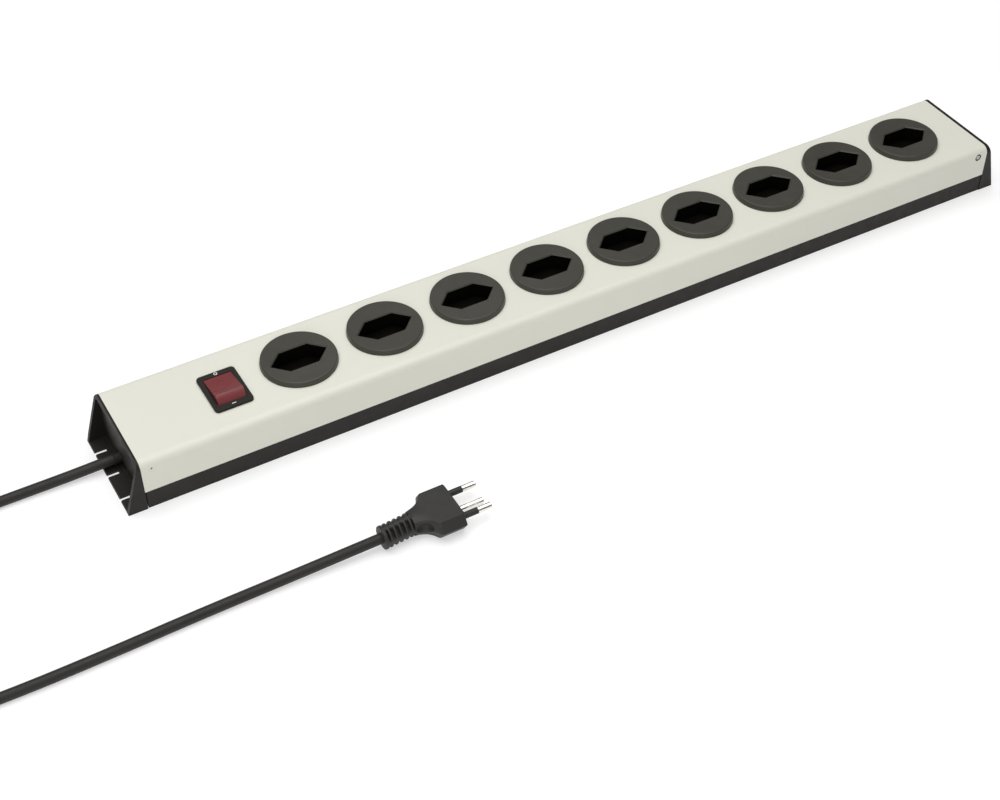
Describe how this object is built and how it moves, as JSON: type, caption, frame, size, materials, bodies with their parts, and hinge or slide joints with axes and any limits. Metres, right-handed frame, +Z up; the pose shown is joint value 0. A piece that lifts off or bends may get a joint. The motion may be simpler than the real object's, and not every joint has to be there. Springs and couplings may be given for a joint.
{
  "type": "power strip",
  "caption": "Desk power strip with a row of recessed three-pin outlets in a white metal channel, a dark red rocker switch, black end caps, and a black lead with its plug",
  "frame": {"origin": "middle of the strip's footprint on the surface it stands on, the lead and plug left out", "axes": "+X along the strip from the lead end to the far end, +Y from the side with the plug to the back, +Z up"},
  "size_m": [0.8166, 0.178, 0.0418],
  "materials": {
    "base_tray": "black fine-grained plastic",
    "breaker_housing": "black plastic with white markings",
    "busbar_earth": "rolled strip",
    "busbar_line": "rolled strip",
    "busbar_neutral": "rolled strip",
    "centre_terminal": "blade",
    "clamp_screws": "zinc plated",
    "coil_tie": "black hook and loop strap",
    "conductor_bond": "green and yellow insulation",
    "conductor_earth": "green and yellow insulation",
    "conductor_line": "brown insulation",
    "conductor_neutral": "blue insulation",
    "conductor_switched": "brown insulation",
    "contact_carrier": "natural polyamide",
    "contact_seesaw": "copper alloy with a silver button",
    "cord_bush": "black rubber",
    "cord_clamp": "black plastic",
    "cord_coil": "black sheath",
    "cord_run_out": "black sheath",
    "cord_run_plug": "black sheath",
    "cord_tail": "black sheath",
    "cover": "off-white textured paint on folded sheet",
    "cover_screws": "zinc plated",
    "earth_lug": "tinned",
    "earth_nut": "zinc plated",
    "end_cap_cord": "black fine-grained plastic",
    "end_cap_far": "black fine-grained plastic",
    "fixed_contact": "blade with a silver button",
    "pin_sleeve_line": "black sleeve",
    "pin_sleeve_neutral": "black sleeve",
    "plug_body": "black soft moulded plastic",
    "plug_bridge": "black hard plastic",
    "plug_pin_earth": "nickel plated brass",
    "plug_pin_line": "nickel plated brass",
    "plug_pin_neutral": "nickel plated brass",
    "plunger": "white plastic",
    "rocker": "dark red",
    "rocker_spring": "spring wire",
    "socket_insert_1": "black plastic, fine grain",
    "socket_insert_2": "black plastic, fine grain",
    "socket_insert_3": "black plastic, fine grain",
    "socket_insert_4": "black plastic, fine grain",
    "socket_insert_5": "black plastic, fine grain",
    "socket_insert_6": "black plastic, fine grain",
    "socket_insert_7": "black plastic, fine grain",
    "socket_insert_8": "black plastic, fine grain",
    "socket_insert_9": "black plastic, fine grain"
  },
  "bodies": {
    "strip": {"base_tray": "base_tray", "breaker_housing": "breaker_housing", "busbar_earth": "busbar_earth", "busbar_line": "busbar_line", "busbar_neutral": "busbar_neutral", "centre_terminal": "centre_terminal", "clamp_screws": "clamp_screws", "coil_tie": "coil_tie", "conductor_bond": "conductor_bond", "conductor_earth": "conductor_earth", "conductor_line": "conductor_line", "conductor_neutral": "conductor_neutral", "conductor_switched": "conductor_switched", "contact_carrier": "contact_carrier", "cord_bush": "cord_bush", "cord_clamp": "cord_clamp", "cord_coil": "cord_coil", "cord_run_out": "cord_run_out", "cord_run_plug": "cord_run_plug", "cord_tail": "cord_tail", "cover": "cover", "cover_screws": "cover_screws", "earth_lug": "earth_lug", "earth_nut": "earth_nut", "end_cap_cord": "end_cap_cord", "end_cap_far": "end_cap_far", "fixed_contact": "fixed_contact", "pin_sleeve_line": "pin_sleeve_line", "pin_sleeve_neutral": "pin_sleeve_neutral", "plug_body": "plug_body", "plug_bridge": "plug_bridge", "plug_pin_earth": "plug_pin_earth", "plug_pin_line": "plug_pin_line", "plug_pin_neutral": "plug_pin_neutral", "socket_insert_1": "socket_insert_1", "socket_insert_2": "socket_insert_2", "socket_insert_3": "socket_insert_3", "socket_insert_4": "socket_insert_4", "socket_insert_5": "socket_insert_5", "socket_insert_6": "socket_insert_6", "socket_insert_7": "socket_insert_7", "socket_insert_8": "socket_insert_8", "socket_insert_9": "socket_insert_9"},
    "rocker_body": {"rocker": "rocker", "plunger": "plunger", "rocker_spring": "rocker_spring"},
    "seesaw_body": {"contact_seesaw": "contact_seesaw"}
  },
  "joints": [
    {"name": "rocker_tilt", "type": "hinge", "parent": "strip", "child": "rocker_body", "pos_m": [-0.242, -0.0021, 0.0307], "axis": [1, 0, 0], "range_deg": [0, 24.4]},
    {"name": "seesaw_tilt", "type": "hinge", "parent": "strip", "child": "seesaw_body", "pos_m": [-0.242, -0.0021, 0.0229], "axis": [1, 0, 0], "range_deg": [-16, 0]}
  ],
  "couplings": [
    {"joint": "seesaw_tilt", "follows": "rocker_tilt", "ratio": -0.6557}
  ]
}
